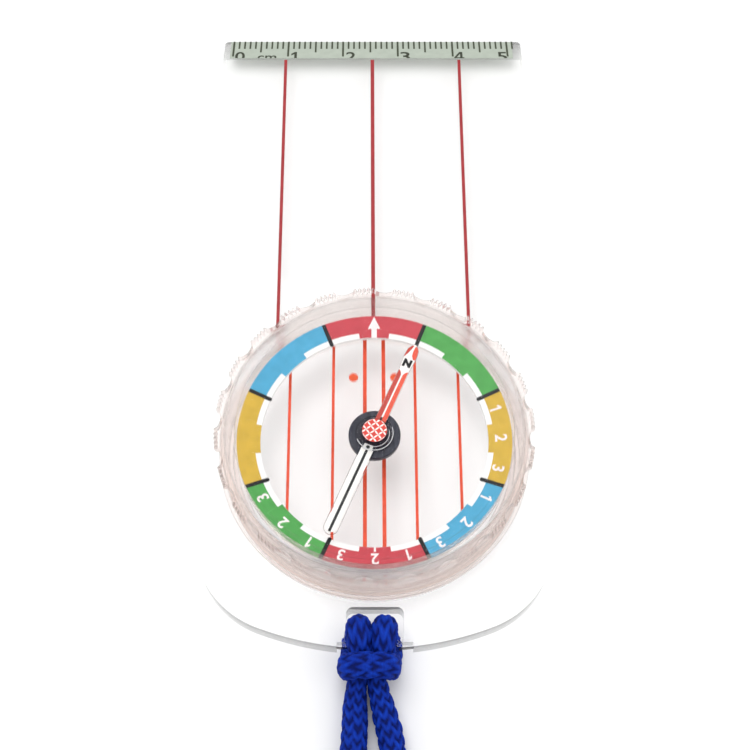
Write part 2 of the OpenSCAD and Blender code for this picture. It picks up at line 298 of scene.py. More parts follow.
def cad_surface(node):
    """A CAD node's surface as a bmesh with its flat faces joined up again."""
    work = bmesh.new()
    work.from_mesh(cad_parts[node].data)
    bmesh.ops.remove_doubles(work, verts=work.verts, dist=0.001 * MM)
    bmesh.ops.dissolve_limit(
        work, angle_limit=math.radians(0.5), verts=work.verts, edges=work.edges
    )
    return work


def rounded_mesh(name, work, width, segments=3, limit=math.radians(30)):
    """The mesh with every edge sharper than the limit rounded off."""
    mesh = from_bmesh(name, work)
    holder = bpy.data.objects.new(name + "_sharp", mesh)
    bpy.context.scene.collection.objects.link(holder)
    bevel = holder.modifiers.new("round", "BEVEL")
    bevel.width = width * MM
    bevel.segments = segments
    bevel.limit_method = "ANGLE"
    bevel.angle_limit = limit
    bevel.use_clamp_overlap = True
    graph = bpy.context.evaluated_depsgraph_get()
    rounded = bpy.data.meshes.new_from_object(holder.evaluated_get(graph))
    bpy.data.objects.remove(holder)
    return rounded


HOLD = 0.015  # an extra point this far past each fillet keeps the flat walls' shading flat


def filleted(corners, steps=4):
    """Closed outline of (r, z, radius, tooth) corners, with each corner rounded by its radius."""
    outline = []
    count = len(corners)
    for i, (r, z, radius, tooth) in enumerate(corners):
        here = Vector((r, z))
        if not radius:
            outline.append((r, z, tooth))
            continue
        ends, holds = [], []
        for other in (corners[i - 1], corners[(i + 1) % count]):
            away = Vector(other[:2]) - here
            reach = min(radius / away.length, 0.42)
            ends.append(here + away * reach)
            holds.append(here + away * (reach + HOLD / away.length))
        outline.append((*holds[0], tooth))
        for k in range(steps + 1):
            t = k / steps
            p = ends[0] * (1 - t) ** 2 + here * 2 * t * (1 - t) + ends[1] * t ** 2
            outline.append((p.x, p.y, tooth))
        outline.append((*holds[1], tooth))
    return outline


def lathe(name, corners, segments=192, toothed=None, steps=4):
    """Turns a closed outline round the pivot. toothed lists (angle, sink) pairs, and the corners
    marked as teeth sink by that much there."""
    outline = filleted(corners, steps)
    sides = len(outline)
    stations = toothed or [(2 * math.pi * k / segments, 0) for k in range(segments)]
    segments = len(stations)
    points = []
    for angle, sink in stations:
        for r, z, tooth in outline:
            out = r - sink * tooth
            points.append((PIVOT.x + out * math.cos(angle), PIVOT.y + out * math.sin(angle), z))
    faces = []
    for k in range(segments):
        a, b = k * sides, (k + 1) % segments * sides
        for j in range(sides):
            n = (j + 1) % sides
            faces.append((a + j, b + j, b + n, a + n))
    mesh = mesh_from(name, points, faces)
    work = bmesh.new()
    work.from_mesh(mesh)
    bpy.data.meshes.remove(mesh)
    bmesh.ops.remove_doubles(work, verts=work.verts, dist=0.0005 * MM)
    return from_bmesh(name, work)


def prism(outline, z, height):
    """A flat plate with this outline of (x, y) points, as a bmesh."""
    work = bmesh.new()
    low = [work.verts.new((x * MM, y * MM, z * MM)) for x, y in outline]
    bottom = work.faces.new(low)
    raised = bmesh.ops.extrude_face_region(work, geom=[bottom])
    top = [v for v in raised["geom"] if isinstance(v, bmesh.types.BMVert)]
    bmesh.ops.translate(work, verts=top, vec=(0, 0, height * MM))
    bmesh.ops.triangulate(work, faces=[f for f in work.faces if len(f.verts) > 4])
    return work


def joined(name, works):
    """One mesh from several bmeshes."""
    total = bmesh.new()
    for work in works:
        part = from_bmesh("part", work)
        total.from_mesh(part)
        bpy.data.meshes.remove(part)
    return from_bmesh(name, total)


def polar(r, azimuth):
    """A point at a distance from the pivot and degrees clockwise from +Y."""
    a = math.radians(azimuth)
    return (PIVOT.x + r * math.sin(a), PIVOT.y + r * math.cos(a))


FIGURE_T = 0.02
# Figures drawn as outlines, one unit high
DRAWN = {
    "1": [
        [(0.0, 0.0), (0.17, 0.0), (0.17, 1.0), (0.03, 1.0), (-0.2, 0.8), (-0.2, 0.62), (0.0, 0.76)],
    ],
    "4": [
        [(0.08, 0.0), (0.25, 0.0), (0.25, 1.0), (0.08, 1.0)],
        [(-0.36, 0.26), (0.38, 0.26), (0.38, 0.39), (-0.36, 0.39)],
        [(-0.36, 0.37), (-0.19, 0.37), (0.2, 1.0), (0.03, 1.0)],
    ],
}


def lettering(text, height, centre, z, turn=0.0, bold=0.0, width=None, cut=None):
    """Generic figures as a bmesh. Height and width are in millimetres, turn in degrees
    clockwise, and cut leaves only so much of them below their top."""
    work = bmesh.new()
    if text in DRAWN:
        for outline in DRAWN[text]:
            work.faces.new([work.verts.new((x, y, 0)) for x, y in outline])
        work.normal_update()
        bmesh.ops.triangulate(work, faces=list(work.faces))
    else:
        curve = bpy.data.curves.new("figure", "FONT")
        curve.body = text
        curve.size = 1.0
        curve.offset = bold
        curve.resolution_u = 6
        holder = bpy.data.objects.new("figure", curve)
        bpy.context.scene.collection.objects.link(holder)
        graph = bpy.context.evaluated_depsgraph_get()
        flat = bpy.data.meshes.new_from_object(holder.evaluated_get(graph))
        bpy.data.objects.remove(holder)
        work.from_mesh(flat)
        bpy.data.meshes.remove(flat)
        bmesh.ops.remove_doubles(work, verts=work.verts, dist=1e-5)
    low = min(v.co.y for v in work.verts)
    high = max(v.co.y for v in work.verts)
    left = min(v.co.x for v in work.verts)
    right = max(v.co.x for v in work.verts)
    size = height / (high - low)
    stretch = width / (right - left) if width else size
    if cut:
        bmesh.ops.bisect_plane(
            work, geom=list(work.verts) + list(work.edges) + list(work.faces),
            plane_co=(0, high - cut / size, 0), plane_no=(0, -1, 0), clear_outer=True,
        )
    raised = bmesh.ops.extrude_face_region(work, geom=list(work.faces))
    top = [v for v in raised["geom"] if isinstance(v, bmesh.types.BMVert)]
    bmesh.ops.translate(work, verts=top, vec=(0, 0, 1))
    place = (
        Matrix.Translation((centre[0] * MM, centre[1] * MM, z * MM))
        @ Matrix.Rotation(math.radians(-turn), 4, "Z")
        @ Matrix.Diagonal((stretch * MM, size * MM, FIGURE_T * MM, 1))
        @ Matrix.Translation((-(left + right) / 2, -(low + high) / 2, 0))
    )
    work.transform(place)
    return work


def turned(name, corners, material, body, slot, node, **options):
    """A turned piece that takes a CAD node's place."""
    piece = finished(name, lathe(name, corners, **options), material, body)
    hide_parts(node)


def dress(node, material):
    """Gives a CAD node its material."""
    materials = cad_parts[node].data.materials
    materials.clear()
    materials.append(material)


# ---------- lanyard ----------

CORD_D = 4.0
CORD_R = CORD_D / 2
HITCH_X = -0.5
FINE_LENGTH = 48  # of each half, with close rings for the hitch and the stretch in view
FINE_STEP = 0.2
COARSE_STEP = 0.5
TABLE_GAP = 0.02

# Half of the girth hitch, seen from its middle: outwards, along Y, height above the table, and
# how far the cord is squeezed in height and sideways. It goes over the bar, down, under the rim,
# up through the slot and back out under the bar.
HALF_HITCH = [
    (-0.5, -60.4, 7.2, 1.0, 1.0), (1.6, -60.4, 7.1, 1.0, 1.0), (3.0, -60.35, 6.2, 1.0, 0.85),
    (3.5, -59.9, 4.3, 1.0, 0.6), (3.45, -58.9, 2.3, 0.9, 0.6), (2.9, -57.4, 1.05, 0.5, 0.8),
    (2.2, -55.6, 1.1, 0.55, 1.0), (2.0, -54.5, 2.2, 0.9, 1.0), (1.95, -53.95, 3.8, 1.0, 1.0),
    (1.9, -54.5, 5.3, 1.0, 1.02), (1.82, -56.0, 5.9, 1.0, 1.02), (1.68, -57.6, 5.3, 0.95, 0.9),
    (1.45, -59.2, 4.4, 0.85, 0.7),
]
LEFT_ROUTE = [
    (-2.54, -61.4, 3.2), (-2.85, -63.5, 2.5), (-2.95, -66, 2.1), (-3.05, -70, 2), (-3.7, -76, 2),
    (-5.8, -83, 2), (-8.6, -91, 2), (-11.3, -98, 2), (-13.6, -105, 2), (-15, -112, 2),
]
RIGHT_ROUTE = [
    (0.22, -61.4, 3.2), (0.65, -63.5, 2.5), (1.3, -66, 2.1), (2.25, -70, 2), (2.8, -76, 2),
    (0.8, -83, 2), (-3.2, -91, 2), (-6.8, -98, 2), (-9.5, -105, 2), (-11, -112, 2),
]
COIL_AT = (14.0, -112.0)
COIL_PITCH = 8.0  # both strands step in by this much each turn
KNOT_AT = (16.0, -113.0)
STEPS_PER_TURN = 24


def coil_turns(start_r, turns):
    """Centreline points of one strand's turns, counter-clockwise from the side facing -X."""
    points = []
    for k in range(1, round(turns * STEPS_PER_TURN) + 1):
        angle = math.pi + 2 * math.pi * k / STEPS_PER_TURN
        r = start_r - COIL_PITCH * k / STEPS_PER_TURN
        x = COIL_AT[0] + r * math.cos(angle)
        y = COIL_AT[1] + r * math.sin(angle)
        points.append((x, y, CORD_R, 1.0, 1.0))
    return points


def smooth_route(controls, step_at):
    """A Catmull-Rom curve through the controls, sampled at step_at(distance) along it."""
    c = np.array(controls, float)
    c = np.vstack([2 * c[0] - c[1], c, 2 * c[-1] - c[-2]])
    fine = []
    for i in range(1, len(c) - 2):
        for t in np.linspace(0, 1, 24, endpoint=False):
            p0, p1, p2, p3 = c[i - 1:i + 3]
            fine.append(0.5 * (
                2 * p1 + (p2 - p0) * t + (2 * p0 - 5 * p1 + 4 * p2 - p3) * t ** 2
                + (3 * p1 - p0 - 3 * p2 + p3) * t ** 3
            ))
    fine.append(c[-2])
    fine = np.array(fine)
    along = np.concatenate([[0], np.cumsum(np.linalg.norm(np.diff(fine[:, :3], axis=0), axis=1))])
    stations, s = [], 0.0
    while s < along[-1]:
        stations.append(s)
        s += step_at(s)
    stations.append(along[-1])
    columns = [np.interp(stations, along, fine[:, k]) for k in range(fine.shape[1])]
    return np.array(stations), np.stack(columns, 1)


def frames_along(centres):
    """Two cross directions at each point, carried along without twist."""
    tangents = np.gradient(centres, axis=0)
    tangents /= np.linalg.norm(tangents, axis=1)[:, None]
    side = np.cross(tangents[0], (0, 0, 1.0))
    if np.linalg.norm(side) < 0.1:
        side = np.array((1.0, 0, 0))
    sides, ups = [], []
    for t in tangents:
        side = side - t * side.dot(t)
        side /= np.linalg.norm(side)
        sides.append(side.copy())
        ups.append(np.cross(side, t))
    return np.array(sides), np.array(ups)


BRAID_COLUMNS = 8
STITCH_PITCH = 1.95
STITCH_LENGTH = 2.5
STITCH_WIDTH = 0.86
STITCH_LEAN = math.radians(27)
STITCH_RELIEF = 0.42
STITCH_UNEVEN = 0.16  # how much stitches differ in place and height
STITCH_SHARP = math.radians(80)


def scatter(column, row, seed):
    """A repeatable value from -1 to 1 for one stitch."""
    value = np.sin((column % (2 * BRAID_COLUMNS)) * 12.9898 + row * 78.233 + seed) * 43758.5453
    return 2 * (value - np.floor(value)) - 1


def braid_relief(around, along):
    """Height from 0 to 1 of a braid of leaning stitches, at an angle round and a length along."""
    column_w = 2 * math.pi * CORD_R / (2 * BRAID_COLUMNS)
    u = around * CORD_R / column_w
    best = np.zeros(np.broadcast(around, along).shape)
    for du in (-1, 0, 1):
        column = np.floor(u) + du
        lean = np.where(column % 2 == 0, 1, -1) * STITCH_LEAN
        shift = np.where(np.floor(column / 2) % 2 == 0, 0.0, 0.5) * STITCH_PITCH
        v = (along - shift) / STITCH_PITCH
        for dv in (-1, 0, 1):
            row = np.floor(v) + dv
            x = (u - column - 0.5) * column_w + STITCH_UNEVEN * 0.6 * scatter(column, row, 1)
            y = (v - row - 0.5) * STITCH_PITCH + STITCH_UNEVEN * scatter(column, row, 2)
            across = x * np.cos(lean) - y * np.sin(lean)
            length = x * np.sin(lean) + y * np.cos(lean)
            q = (2 * across / STITCH_WIDTH) ** 2 + (2 * length / STITCH_LENGTH) ** 2
            tip = 0.12 * length / STITCH_LENGTH
            high = 0.86 + tip + STITCH_UNEVEN * 0.6 * scatter(column, row, 3)
            best = np.maximum(best, np.sqrt(np.clip(1 - q, 0, 1)) * high)
    return best


def braid_offset(angles, radius, sides, ups):
    """Vectors from a cord's middle to its surface, for every ring and every angle round it."""
    return (
        np.cos(angles)[None, :, None] * sides[:, None, :]
        + np.sin(angles)[None, :, None] * ups[:, None, :]
    ) * radius[:, :, None]


def relief_mesh(name, points, faces, relief):
    """A mesh that stays above the table and keeps the braid's relief as an attribute."""
    points[:, 2] = np.maximum(points[:, 2], TABLE_GAP)
    mesh = mesh_from(name, points, faces)
    layer = mesh.attributes.new("relief", "FLOAT", "POINT")
    layer.data.foreach_set("value", relief.reshape(-1).astype(np.float32))
    return mesh


def braided_tube(name, stations, route, around=56):
    """A tube along the route with the braid raised on it."""
    centres = route[:, :3]
    squeeze, sideways = route[:, 3], route[:, 4]
    sides, ups = frames_along(centres)
    angles = np.linspace(0, 2 * math.pi, around, endpoint=False)
    relief = braid_relief(angles[None, :], stations[:, None])
    radius = CORD_R - STITCH_RELIEF * (1 - relief) + 0.05
    offset = braid_offset(angles, radius, sides, ups)
    offset[:, :, 2] *= squeeze[:, None]
    offset[:, :, :2] *= (1 + 0.35 * (1 - squeeze))[:, None, None]
    offset[:, :, 0] *= sideways[:, None]
    points = (centres[:, None, :] + offset).reshape(-1, 3)
    rings = len(stations)
    faces = []
    for i in range(rings - 1):
        for k in range(around):
            a, b = i * around + k, i * around + (k + 1) % around
            faces.append((a, a + around, b + around, b))
    faces.append(tuple(range(around)))
    faces.append(tuple((rings - 1) * around + k for k in reversed(range(around))))
    return relief_mesh(name, points, faces, relief)


def cord_material():
    """Royal blue polyester: painted shade between the stitches and painted light on them, fine
    fibre and sheen.
    """
    tree = Tree("blue_cord", (0.005, 0.03, 0.32), 0.75)
    relief = tree.add("ShaderNodeAttribute", attribute_name="relief").outputs["Fac"]
    # painted shade and light: the braid's relief turns the blue dark between the stitches and
    # bright on their tops
    depth = tree.ramp(relief, [
        (0.1, (0.001, 0.008, 0.11)), (0.55, (0.002, 0.02, 0.25)), (0.95, (0.004, 0.043, 0.44)),
    ])
    fibre = tree.noise(2600, 4, (1, 0.35, 1), 0.8)
    worn = tree.noise(260, 3)
    streak = tree.ramp(fibre, [(0.3, (0.55, 0.6, 0.72)), (0.7, (1.15, 1.2, 1.15))])
    lit = tree.add("ShaderNodeMix", {0: 0.85, 6: depth, 7: streak},
                   data_type="RGBA", blend_type="MULTIPLY")
    patch = tree.ramp(worn, [(0.3, (0.85, 0.85, 0.9)), (0.7, (1.1, 1.15, 1.1))])
    final = tree.add("ShaderNodeMix", {0: 0.8, 6: lit.outputs[2], 7: patch},
                     data_type="RGBA", blend_type="MULTIPLY")
    tree.set("Base Color", final.outputs[2])
    tree.set("Roughness", tree.to_range(fibre, 0.6, 0.9))
    tree.set("Specular IOR Level", 0.12)
    tree.bump(fibre, 0.12 * MM, 0.6)
    return tree.material


def half_lanyard(name, side, route, coil_r, turns, replaced, material):
    """One half of the cord: hitch, the lying stretch, the coil and the end in the knot."""
    controls = []
    for x, y, *rest in HALF_HITCH:
        lean = float(np.interp(y, (-61, -57.5), (-0.5, 0)))  # the bar sits a little to the left
        controls.append((HITCH_X + lean + side * x, y, *rest))
    for x, y, z in route:
        spread = float(np.interp(y, (-67, -61.4), (1.0, 0.72)))  # they widen out past the bar
        controls.append((x, y, z, 0.85 if y > -63 else 1.0, spread))
    controls += coil_turns(coil_r, turns)
    last = Vector(controls[-1][:2])
    before = Vector(controls[-2][:2])
    knot = Vector(KNOT_AT)
    reach = (knot - last).length
    bend = last + (last - before).normalized() * reach * 0.45
    for t in (0.35, 0.65, 0.9):
        p = last * (1 - t) ** 2 + bend * 2 * t * (1 - t) + knot * t ** 2
        controls.append((p.x, p.y, CORD_R, 1.0, 1.0))
    stations, path = smooth_route(controls, lambda s: FINE_STEP if s < FINE_LENGTH else COARSE_STEP)
    mesh = braided_tube(name, stations, path)
    piece = finished(name, mesh, material, "base", sharp=STITCH_SHARP)
    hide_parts(*replaced)
    route_m = [tuple(float(c) * MM for c in p[:3]) for p in path[::4]]
    route_m.append(tuple(float(c) * MM for c in path[-1][:3]))
    return piece, route_m


def knot_mesh(name):
    """Both cords tied in one overhand knot, as a closed trefoil."""
    steps = 150
    middle_z = 3.1
    t = np.linspace(0, 2 * math.pi, steps, endpoint=False)
    size, r = 1.35, 1.55
    x = KNOT_AT[0] + size * (np.sin(t) + 2 * np.sin(2 * t))
    y = KNOT_AT[1] + size * (np.cos(t) - 2 * np.cos(2 * t))
    z = middle_z - 1.45 * np.sin(3 * t)
    centres = np.stack([x, y, z], 1)
    tangents = np.roll(centres, -1, 0) - np.roll(centres, 1, 0)
    tangents /= np.linalg.norm(tangents, axis=1)[:, None]
    out = centres - np.array([*KNOT_AT, middle_z])
    sides = np.cross(tangents, out)
    sides /= np.linalg.norm(sides, axis=1)[:, None]
    ups = np.cross(sides, tangents)
    around = 40
    angles = np.linspace(0, 2 * math.pi, around, endpoint=False)
    length = np.linalg.norm(centres - np.roll(centres, 1, 0), axis=1).sum()
    pitches = round(length / STITCH_PITCH)
    along = np.arange(steps) / steps * pitches * STITCH_PITCH
    relief = braid_relief(angles[None, :], along[:, None])
    radius = r * (1 - 0.16 * (1 - relief))
    points = (centres[:, None, :] + braid_offset(angles, radius, sides, ups)).reshape(-1, 3)
    faces = []
    for i in range(steps):
        for k in range(around):
            a, b = i * around + k, i * around + (k + 1) % around
            c, d = (i + 1) % steps * around + (k + 1) % around, (i + 1) % steps * around + k
            faces.append((a, d, c, b))
    return relief_mesh(name, points, faces, relief)


def add_lanyard():
    material = cord_material()
    knot = finished("end_knot", knot_mesh("end_knot"), material, "base",
                    sharp=STITCH_SHARP)
    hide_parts("lanyard_knot")
    halves = [
        ("cord_left", -1, LEFT_ROUTE, 29.0, 1.16, ("lanyard_left", "lanyard_hitch")),
        ("cord_right", 1, RIGHT_ROUTE, 25.0, 1.5, ("lanyard_right", "lanyard_coil")),
    ]
    for name, side, route, coil_r, turns, replaced in halves:
        piece, path = half_lanyard(name, side, route, coil_r, turns, replaced, material)


add_lanyard()


# ---------- clear plate ----------

def add_plate():
    work = cad_surface("baseplate")
    mesh = rounded_mesh("plate", work, 0.32)
    # painted shade: very dark edge and wall tints draw the plate's rounded edges and walls as grey
    # lines
    material = clear_plastic(
        "clear_plate", (0.995, 0.995, 0.99), ior=1.25, edge=0.16, wall=0.3, flat=0.93,
        unbent_share=0.0,
    )
    piece = finished("plate", mesh, material, "base")
    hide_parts("baseplate")


add_plate()


# ---------- dial ----------

GROUPS = 24
GROUP_TEETH = 5
GROUP_STEP = 360 / GROUPS
GROUP_WIDTH = 8.6  # in degrees
TOOTH_PITCH = GROUP_WIDTH / GROUP_TEETH
GROUP_HALF = GROUP_TEETH * TOOTH_PITCH / 2
TOOTH_DEPTH = 0.55
SCALLOP_DEPTH = 0.35
SCALLOP_STEPS = 6
RIM_H = 1.65
NECK_R = 22.15  # neck of the bezel, through the plate
NECK_IN_R = 21.5
KEEPER_IN_R = 20.9
SLIDE_W = 0.85  # width of the slip ring between dial and plate
FACE_GAP = 0.02  # kept between clear faces that would otherwise coincide
FIT = 0.05  # radial gap between pieces that fit into each other
PLAY = 0.1  # gap round pieces that lie loose
CUP_LOW, CUP_HIGH = span("capsule_cup")
CUP_R = CUP_HIGH.x - PIVOT.x
CHAMBER_R = RING_HIGH.x - PIVOT.x + PLAY


def rim_stations():
    """Angles round the toothed rim, and how far the rim lies inside its tooth tips there."""
    stations = []
    for g in range(GROUPS):
        start = 90 + GROUP_STEP / 4 + g * GROUP_STEP - GROUP_HALF
        for i in range(GROUP_TEETH):
            for part, sink in ((0.0, 1.0), (0.38, 0.04), (0.5, 0.0), (0.62, 0.04)):
                stations.append((start + (i + part) * TOOTH_PITCH, sink * TOOTH_DEPTH))
        gap = GROUP_STEP - 2 * GROUP_HALF
        for k in range(SCALLOP_STEPS):
            sink = TOOTH_DEPTH + SCALLOP_DEPTH * math.sin(math.pi * k / SCALLOP_STEPS)
            stations.append((start + 2 * GROUP_HALF + gap * k / SCALLOP_STEPS, sink))
    return [(math.radians(angle), sink) for angle, sink in stations]


def add_bezel(clear):
    low, high = span("bezel")
    glide_high = span("glide_ring")[1]
    tip_r = high.x - PIVOT.x
    rim_z = high.z - RIM_H
    foot_z = PLATE_TOP + PLAY
    bore_r = CUP_R + FIT
    slide_r = glide_high.x - PIVOT.x
    groove_in, groove_out = slide_r - SLIDE_W - PLAY, slide_r + PLAY
    groove_z = glide_high.z + PLAY
    shelf_z = CUP_LOW.z - FACE_GAP
    corners = [
        (NECK_IN_R, low.z, 0.15, 0), (NECK_R, low.z, 0.15, 0), (NECK_R, foot_z, 0, 0),
        (groove_in, foot_z, 0, 0), (groove_in, groove_z, 0.1, 0),
        (groove_out, groove_z, 0.1, 0), (groove_out, foot_z, 0, 0),
        (tip_r - 0.1, foot_z, 0.15, 0), (tip_r - 0.1, CUP_LOW.z, 0.2, 0),
        (tip_r - 1.0, CUP_LOW.z + 0.02, 0.25, 0), (tip_r - 1.0, rim_z, 0.25, 0),
        (tip_r, rim_z, 0.15, 1), (tip_r, high.z, 0.2, 1),
        (bore_r, high.z, 0.3, 0), (bore_r, shelf_z, 0.1, 0), (NECK_IN_R, shelf_z, 0.1, 0),
    ]
    turned("bezel_ring", corners, clear, "dial", "clear_dial", "bezel",
           toothed=rim_stations(), steps=3)


def add_capsule():
    ledge_r, ledge_z = 20.6, RING_LOW.z
    socket_r, pin_r = 1.6, 0.4
    floor_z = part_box("orienting_lines")[0].z / MM
    socket_z = floor_z + 1
    under_z = CUP_LOW.z + 0.3
    top_z = CUP_HIGH.z - FACE_GAP
    corners = [
        (0.0, CUP_LOW.z, 0, 0), (CUP_R, CUP_LOW.z, 0.25, 0), (CUP_R, top_z, 0.15, 0),
        (CHAMBER_R, top_z, 0.15, 0), (CHAMBER_R, ledge_z, 0.1, 0),
        (ledge_r, ledge_z, 0.15, 0), (ledge_r, floor_z, 0.3, 0), (socket_r, floor_z, 0.2, 0),
        (socket_r, socket_z, 0.2, 0), (pin_r, socket_z, 0.1, 0), (pin_r, under_z, 0, 0),
        (0.0, under_z, 0, 0),
    ]
    material = clear_plastic(
        "clear_capsule", (0.998, 0.995, 0.992), 0.05, ior=1.08, edge=0.86, wall=0.97,
    )
    turned("capsule", corners, material, "dial", "clear_capsule", "capsule_cup")


def add_window():
    low, high = span("capsule_lid")
    step_r, step_z = CHAMBER_R - FIT, low.z + 0.2
    lip_r = step_r - 0.7
    corners = [
        (0.0, step_z, 0, 0), (lip_r, step_z, 0, 0), (lip_r, low.z, 0.05, 0),
        (step_r, low.z, 0.05, 0), (step_r, step_z, 0, 0), (CUP_R, step_z, 0.1, 0),
        (CUP_R, high.z, 0.3, 0), (0.0, high.z, 0, 0),
    ]
    material = clear_plastic(
        "clear_window", (0.998, 0.998, 0.998), 0.02, haze=0.01, ior=1.05, edge=0.85,
    )
    turned("capsule_window", corners, material, "dial", "clear_window", "capsule_lid")


def add_keeper(clear):
    low, high = span("retaining_ring")
    outer_r = high.x - PIVOT.x
    spigot_r = NECK_IN_R - FIT
    flange_z = span("bezel")[0].z - FACE_GAP
    corners = [
        (KEEPER_IN_R, low.z, 0.1, 0), (outer_r, low.z, 0.15, 0), (outer_r, flange_z, 0.1, 0),
        (spigot_r, flange_z, 0, 0), (spigot_r, high.z, 0.1, 0), (KEEPER_IN_R, high.z, 0.1, 0),
    ]
    turned("keeper_ring", corners, clear, "dial", "clear_dial", "retaining_ring", segments=160)


def add_slide_ring():
    low, high = span("glide_ring")
    outer_r = high.x - PIVOT.x
    inner_r = outer_r - SLIDE_W
    corners = [
        (inner_r, low.z, 0.08, 0), (outer_r, low.z, 0.08, 0),
        (outer_r, high.z, 0.08, 0), (inner_r, high.z, 0.08, 0),
    ]
    material = clear_plastic("clear_slip", (0.97, 0.95, 0.94), haze=0.3, ior=1.08)
    turned("slide_ring", corners, material, "base", "clear_dial", "glide_ring",
           segments=160, steps=2)


def add_dial():
    clear = clear_plastic("clear_dial", (0.970, 0.933, 0.920), ior=1.08, edge=0.86, wall=0.93)
    add_bezel(clear)
    add_capsule()
    add_window()
    add_keeper(clear)
    add_slide_ring()


add_dial()


# ---------- coloured ring ----------

RED = (0.52, 0.060, 0.078)
GREEN = (0.078, 0.335, 0.079)
YELLOW = (0.60, 0.39, 0.054)
BLUE = (0.078, 0.36, 0.565)
INK = (0.012, 0.012, 0.014)
WHITE = (0.86, 0.86, 0.85)
SECTORS = [
    ("red", RED, (0, 180)), ("green", GREEN, (45, 225)),
    ("yellow", YELLOW, (90, 270)), ("blue", BLUE, (135, 315)),
]
SECTOR_STEP = 45
BAND_R = 18.4  # inner radius of the colour beside the middle third
RING_IN_R = 17.55
RING_RISE = 0.6  # from the ring's inner to its outer edge
PRINT_T = 0.03


def ring_height(r):
    """Height of the ring's sloping top at a radius."""
    share = (r - RING_IN_R) / (RING_HIGH.x - PIVOT.x - RING_IN_R)
    return RING_HIGH.z - RING_RISE * (1 - share)


def draped(work):
    """Lays a flat work, made at height 0, on the ring's sloping top."""
    for vertex in work.verts:
        r = math.hypot(vertex.co.x / MM - PIVOT.x, vertex.co.y / MM - PIVOT.y)
        vertex.co.z += ring_height(r) * MM
    return work


def sector(centre, outer, inner):
    """One sector's colour: full depth in its middle third, with a white band inside the rest."""
    work = bmesh.new()
    rows = []
    for k in range(2 * SECTOR_STEP + 1):
        turn = k / 2 - SECTOR_STEP / 2
        low_radii = [inner if abs(turn) < SECTOR_STEP / 6 else BAND_R]
        if abs(abs(turn) - SECTOR_STEP / 6) < 0.01:
            low_radii = [BAND_R, inner] if turn < 0 else [inner, BAND_R]
        for low in low_radii:
            corners = [(*polar(r, centre + turn), z) for r, z in
                       ((low, 0), (outer, 0), (outer, PRINT_T), (low, PRINT_T))]
            rows.append([work.verts.new([c * MM for c in corner]) for corner in corners])
    for a, b in zip(rows, rows[1:]):
        for j in range(4):
            n = (j + 1) % 4
            work.faces.new((a[j], b[j], b[n], a[n]))
    work.faces.new(rows[0])
    work.faces.new(rows[-1][::-1])
    return draped(work)


def bar_outline(azimuth, r0, r1, width, round_end=True):
    """A radial bar, with its inner end rounded."""
    a = math.radians(azimuth)
    out = Vector((math.sin(a), math.cos(a)))
    side = Vector((out.y, -out.x)) * width / 2
    base = Vector((PIVOT.x, PIVOT.y))
    points = [base + out * r1 - side, base + out * r1 + side]
    if round_end:
        for k in range(9):
            turn = math.pi * k / 8
            mid = base + out * (r0 + width / 2)
            points.append(mid + side * math.cos(turn) - out * width / 2 * math.sin(turn))
    else:
        points += [base + out * r0 + side, base + out * r0 - side]
    return [(p.x, p.y) for p in points]


def add_colour_ring():
    outer = RING_HIGH.x - PIVOT.x
    inner = RING_IN_R
    dress("colour_ring", moulded("ring_white", WHITE, 0.45))
    for name, colour, centres in SECTORS:
        works = [sector(centre, outer - 0.02, inner + 0.02) for centre in centres]
        finished(f"ring_{name}", joined(f"ring_{name}", works),
                 printed(f"ring_{name}", colour), "dial")
    works = []
    for k in range(8):
        outline = bar_outline(SECTOR_STEP * (k + 0.5), inner - 0.25, outer - 0.05, 0.62)
        works.append(draped(prism(outline, 0.005, PRINT_T + 0.02)))
    finished("ring_dividers", joined("ring_dividers", works), printed("ring_black", INK),
             "dial")
    add_ring_figures(PRINT_T - 0.005, inner, outer)


def add_ring_figures(z, inner, outer):
    """White figures, arrow and tick, z above the ring's top."""
    white = printed("ring_figures", (0.88, 0.80, 0.80))
    works = []
    for centre in (90, 135, 180, 225):
        for k, figure in enumerate("123"):
            azimuth = centre + 15 * (k - 1)
            spot = polar((BAND_R + outer) / 2 - 0.3, azimuth)
            works.append(lettering(figure, 1.85, spot, z, azimuth, 0.02))
    # arrow at the middle of the north sector, and a tick in the south one
    tip, shoulder, half = outer - 0.15, outer - 2.15, 0.98
    works.append(prism(bar_outline(0, inner + 0.02, shoulder + 0.1, 0.85, False), z, 0.02))
    base_y = PIVOT.y + shoulder
    head = [polar(tip, 0), (PIVOT.x + half, base_y), (PIVOT.x - half, base_y)]
    works.append(prism(head, z + 0.004, 0.02))
    works.append(prism(bar_outline(180, inner + 0.02, inner + 0.75, 0.32, False), z, 0.02))
    works = [draped(work) for work in works]
    finished("ring_figures", joined("ring_figures", works), white, "dial")


add_colour_ring()


# ---------- printed lines and scale ----------

def add_prints():
    dressed = {
        "direction_lines": printed("line_red", (0.36, 0.035, 0.04), 0.4, 0.12),
        "orienting_lines": printed("line_orange", (0.70, 0.075, 0.03), 0.45, 0.1),
        "north_dots": printed("dot_red", (0.74, 0.10, 0.035), 0.45, 0.08),
        "scale_strip": printed("strip_green_grey", (0.44, 0.49, 0.42), 0.5, 0.05),
        "scale_marks": printed("scale_black", (0.06, 0.07, 0.045), 0.5, 0.1),
    }
    for node, material in dressed.items():
        dress(node, material)


ZERO_MARK_W = 0.34


